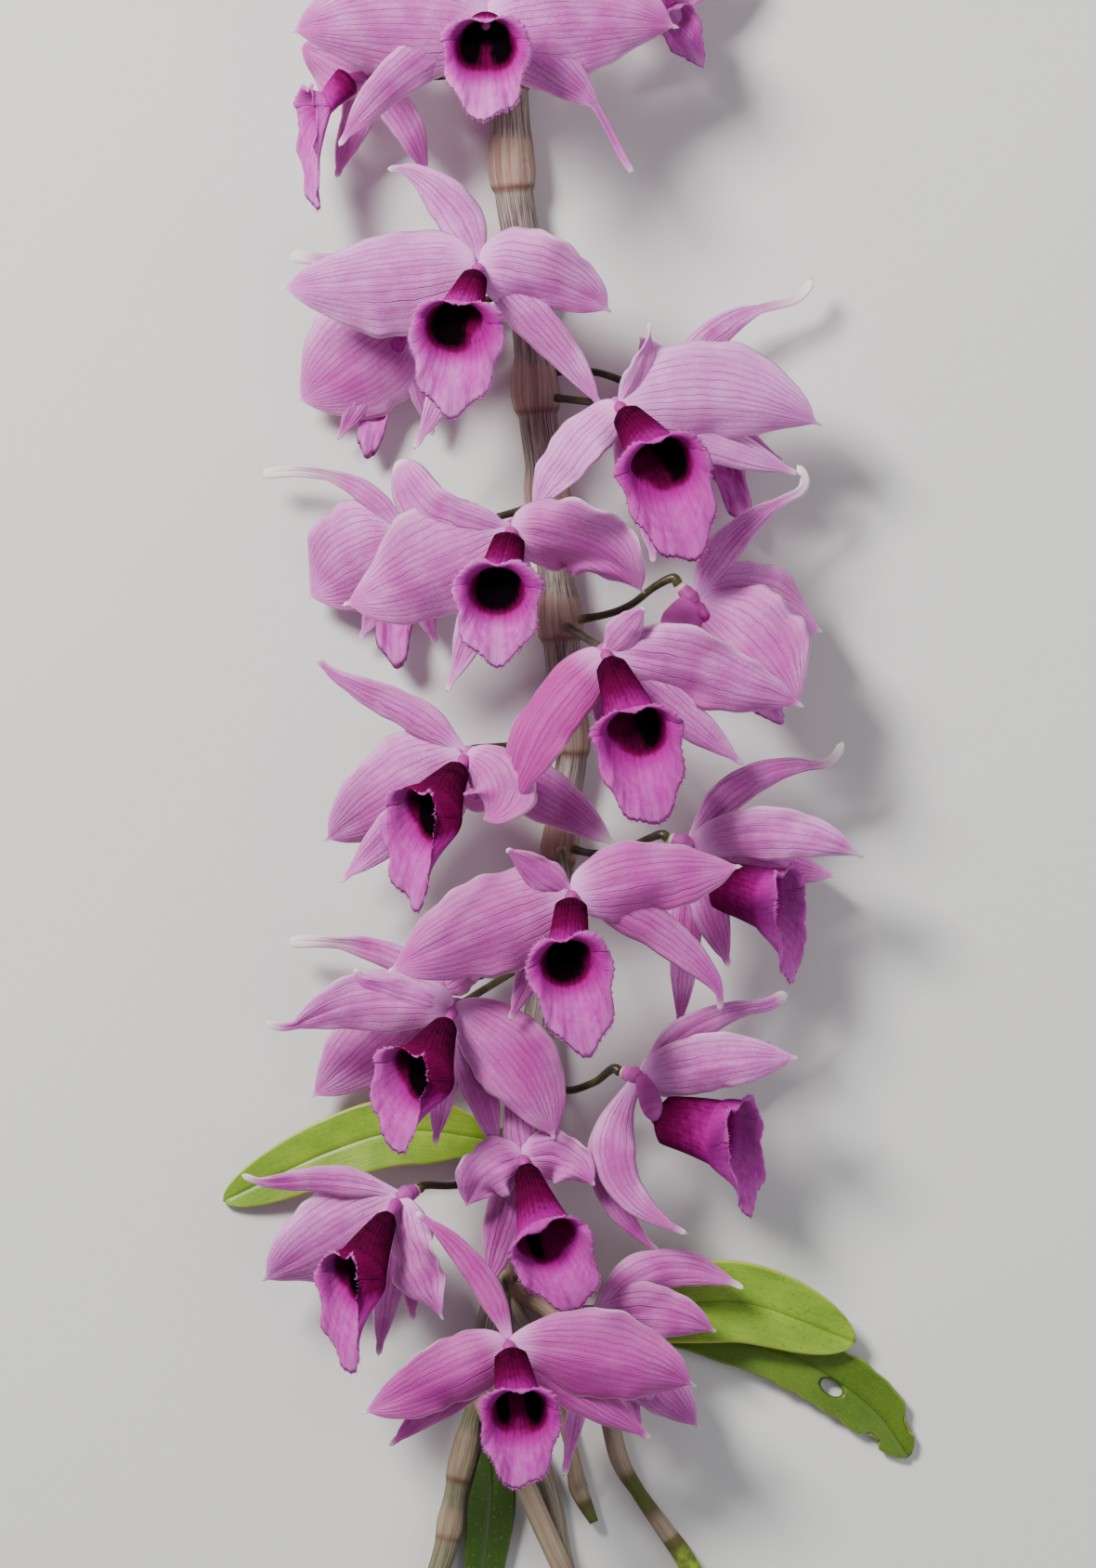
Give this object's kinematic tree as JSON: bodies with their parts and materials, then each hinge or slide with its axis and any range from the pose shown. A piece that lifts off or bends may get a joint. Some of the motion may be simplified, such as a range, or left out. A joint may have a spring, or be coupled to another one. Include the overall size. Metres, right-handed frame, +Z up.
{
  "type": "dendrobium orchid stem",
  "caption": "Cut orchid cane lying down: jointed stem with papery sheaths, flower stalks, side shoots, strap leaves and lilac blooms with rolled purple lips.",
  "frame": {"origin": "middle of the small flat under the swollen node in the middle of the cane, on the surface that the stem lies on", "axes": "+Y along the cane towards its cut end, +X to the right of the stem seen from above with the cut end up, +Z up, the way the blooms look"},
  "size_m": [0.179, 0.4676, 0.0665],
  "materials": {
    "cane": "matt, striped",
    "leaf": "waxy",
    "perianth": "soft satin",
    "lip": "velvety"
  },
  "bodies": {
    "root": {"stem": "cane", "leaf_left": "leaf", "leaf_right_front": "leaf", "leaf_right_rear": "leaf", "leaf_bottom": "leaf", "bloom_01_perianth": "perianth", "bloom_01_lip": "lip", "bloom_02_perianth": "perianth", "bloom_02_lip": "lip", "bloom_03_perianth": "perianth", "bloom_03_lip": "lip", "bloom_04_perianth": "perianth", "bloom_04_lip": "lip", "bloom_05_perianth": "perianth", "bloom_05_lip": "lip", "bloom_06_perianth": "perianth", "bloom_06_lip": "lip", "bloom_07_perianth": "perianth", "bloom_07_lip": "lip", "bloom_08_perianth": "perianth", "bloom_08_lip": "lip", "bloom_09_perianth": "perianth", "bloom_09_lip": "lip", "bloom_10_perianth": "perianth", "bloom_10_lip": "lip", "bloom_11_perianth": "perianth", "bloom_11_lip": "lip", "bloom_12_perianth": "perianth", "bloom_12_lip": "lip", "bloom_13_perianth": "perianth", "bloom_13_lip": "lip", "bloom_14_perianth": "perianth", "bloom_14_lip": "lip", "bloom_15_perianth": "perianth", "bloom_15_lip": "lip", "bloom_16_perianth": "perianth", "bloom_16_lip": "lip", "bloom_17_perianth": "perianth", "bloom_17_lip": "lip", "bloom_18_perianth": "perianth", "bloom_18_lip": "lip", "bloom_19_perianth": "perianth", "bloom_19_lip": "lip", "bloom_20_perianth": "perianth", "bloom_20_lip": "lip", "bloom_21_perianth": "perianth", "bloom_21_lip": "lip"}
  },
  "joints": []
}
